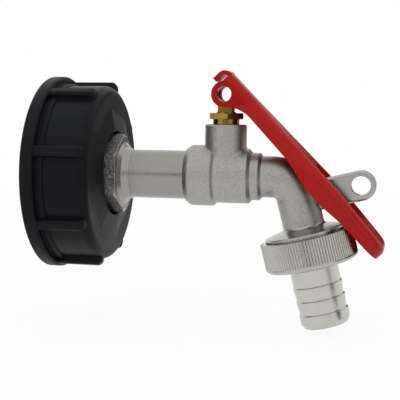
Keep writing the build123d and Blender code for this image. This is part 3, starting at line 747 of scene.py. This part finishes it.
class TAP_OT_stage(bpy.types.Operator):
    """Place the camera, the floor, the world and the lamps"""
    bl_idname = "tap.make_stage"
    bl_label = "Stage"

    def camera(self, context, lens):
        """Set up the photograph's view."""
        data = bpy.data.cameras.new("photo_camera")
        data.lens = lens
        data.sensor_width = 36.0
        data.clip_start = 0.01
        camera = bpy.data.objects.new("photo_camera", data)
        turn = Matrix((CAMERA_RIGHT, CAMERA_UP, -CAMERA_FORWARD)).transposed().to_4x4()
        camera.matrix_world = Matrix.Translation(CAMERA_PLACE) @ turn
        context.scene.collection.objects.link(camera)
        context.scene.camera = camera

    def plane(self, context, name, size, place, turn, material):
        """Add a rectangle that belongs to the stage."""
        mesh = bpy.data.meshes.new(name)
        x, y = size[0] / 2, size[1] / 2
        mesh.from_pydata([(-x, -y, 0), (x, -y, 0), (x, y, 0), (-x, y, 0)], [], [(0, 1, 2, 3)])
        mesh.materials.append(material)
        plane = bpy.data.objects.new(name, mesh)
        plane.location = place
        plane.rotation_euler = turn
        context.scene.collection.objects.link(plane)
        return plane

    def lamp(self, context, name, power, size, place, aim):
        """Add a soft lamp that lights the pieces but isn't mirrored in them."""
        data = bpy.data.lights.new(name, "AREA")
        data.shape = "RECTANGLE"
        data.size, data.size_y = size
        data.energy = power
        lamp = bpy.data.objects.new(name, data)
        lamp.location = place
        lamp.rotation_euler = (Vector(aim) - Vector(place)).to_track_quat("-Z", "Y").to_euler()
        lamp.visible_glossy = False
        context.scene.collection.objects.link(lamp)

    def seen_directly(self, nodes, links):
        """One for rays from the camera and from mirroring surfaces, zero for lighting."""
        path = nodes.new("ShaderNodeLightPath")
        seen = nodes.new("ShaderNodeMath")
        seen.operation = "MAXIMUM"
        links.new(path.outputs["Is Camera Ray"], seen.inputs[0])
        links.new(path.outputs["Is Glossy Ray"], seen.inputs[1])
        return seen.outputs[0]

    def floor_material(self):
        """White where it is looked at, and a pale matt floor where it receives a shadow."""
        material = bpy.data.materials.new("pale_floor")
        material.use_nodes = True
        nodes, links = material.node_tree.nodes, material.node_tree.links
        nodes.clear()
        place = nodes.new("ShaderNodeTexCoord")
        reach = nodes.new("ShaderNodeVectorMath")
        reach.operation = "LENGTH"
        links.new(place.outputs["Object"], reach.inputs[0])
        fade = nodes.new("ShaderNodeMapRange")
        for key, value in FLOOR_FADE.items():
            fade.inputs[key].default_value = value
        links.new(reach.outputs["Value"], fade.inputs["Value"])
        share = nodes.new("ShaderNodeMath")
        share.operation = "MULTIPLY"
        links.new(fade.outputs[0], share.inputs[1])
        links.new(self.seen_directly(nodes, links), share.inputs[0])
        white = nodes.new("ShaderNodeEmission")
        white.inputs["Strength"].default_value = 1.0
        diffuse = nodes.new("ShaderNodeBsdfDiffuse")
        diffuse.inputs["Color"].default_value = FLOOR_COLOUR
        mix = nodes.new("ShaderNodeMixShader")
        links.new(share.outputs[0], mix.inputs[0])
        links.new(diffuse.outputs[0], mix.inputs[1])
        links.new(white.outputs[0], mix.inputs[2])
        links.new(mix.outputs[0], nodes.new("ShaderNodeOutputMaterial").inputs[0])
        return material

    def card_material(self):
        """Nearly black and dull."""
        material = bpy.data.materials.new("dark_card")
        material.use_nodes = True
        shader = material.node_tree.nodes["Principled BSDF"]
        shader.inputs["Base Color"].default_value = (0.02, 0.02, 0.02, 1)
        shader.inputs["Roughness"].default_value = 0.9
        return material

    def world(self, context):
        """White where it is looked at, and a weaker light on the pieces."""
        world = bpy.data.worlds.new("white_studio")
        world.use_nodes = True
        nodes, links = world.node_tree.nodes, world.node_tree.links
        nodes.clear()
        lighting = nodes.new("ShaderNodeBackground")
        lighting.inputs["Strength"].default_value = WORLD_STRENGTH
        shown = nodes.new("ShaderNodeBackground")
        shown.inputs["Color"].default_value = (1, 1, 1, 1)
        shown.inputs["Strength"].default_value = 1.0
        mix = nodes.new("ShaderNodeMixShader")
        links.new(self.seen_directly(nodes, links), mix.inputs[0])
        links.new(lighting.outputs[0], mix.inputs[1])
        links.new(shown.outputs[0], mix.inputs[2])
        links.new(mix.outputs[0], nodes.new("ShaderNodeOutputWorld").inputs[0])
        context.scene.world = world

    def execute(self, context):
        settings = context.scene.tap_stage
        self.camera(context, settings.lens)
        self.world(context)
        floor_place = (0.06, 0.1, cad_bounds[0][2] - FLOOR_GAP)
        self.plane(context, "floor", FLOOR_SIZE, floor_place, (0, 0, 0), self.floor_material())
        dark = self.card_material()
        for name, size, place, turn in CARDS:
            card = self.plane(context, name, size, place, turn, dark)
            card.visible_camera = False
            card.visible_diffuse = False
            card.visible_shadow = False
            card.visible_transmission = False
        for name, power, size, place, aim in LAMPS:
            self.lamp(context, name, power * settings.lamp_level, size, place, aim)
        context.scene.view_settings.view_transform = "Standard"
        return {"FINISHED"}


class TAP_PT_panel(bpy.types.Panel):
    """Lists the pieces of the tap adapter"""
    bl_idname = "TAP_PT_panel"
    bl_label = "Tap adapter"
    bl_space_type = "VIEW_3D"
    bl_region_type = "UI"
    bl_category = "Tap adapter"

    def draw(self, context):
        for group in (context.scene.tap_plastic, context.scene.tap_metal, context.scene.tap_lever,
                      context.scene.tap_knurl, context.scene.tap_tail, context.scene.tap_stage):
            box = self.layout.box()
            for key in group.__annotations__:
                box.prop(group, key)
        for operator in OPERATORS:
            self.layout.operator(operator.bl_idname)


GROUPS = {
    "tap_plastic": PlasticFinish,
    "tap_metal": MetalFinish,
    "tap_lever": LeverFinish,
    "tap_knurl": KnurlSizes,
    "tap_tail": TailSizes,
    "tap_stage": StageSettings,
}
OPERATORS = (TAP_OT_stage, TAP_OT_cap, TAP_OT_metal, TAP_OT_brass, TAP_OT_lever, TAP_OT_seals,
             TAP_OT_union_nut, TAP_OT_hose_tail)


def register():
    """Register the classes and hang their settings on the scene."""
    for group in GROUPS.values():
        bpy.utils.register_class(group)
    for key, group in GROUPS.items():
        setattr(bpy.types.Scene, key, bpy.props.PointerProperty(type=group))
    for operator in OPERATORS:
        bpy.utils.register_class(operator)
    bpy.utils.register_class(TAP_PT_panel)


def unregister():
    """Take the settings and the classes away again."""
    bpy.utils.unregister_class(TAP_PT_panel)
    for operator in reversed(OPERATORS):
        bpy.utils.unregister_class(operator)
    for key, group in reversed(list(GROUPS.items())):
        delattr(bpy.types.Scene, key)
        bpy.utils.unregister_class(group)


def main():
    """Make and finish every piece."""
    register()
    bpy.ops.tap.make_stage()
    bpy.ops.tap.finish_cap()
    bpy.ops.tap.finish_metal()
    bpy.ops.tap.finish_brass()
    bpy.ops.tap.finish_lever()
    bpy.ops.tap.finish_seals()
    bpy.ops.tap.make_union_nut()
    bpy.ops.tap.make_hose_tail()


if __name__ == "__main__":
    main()
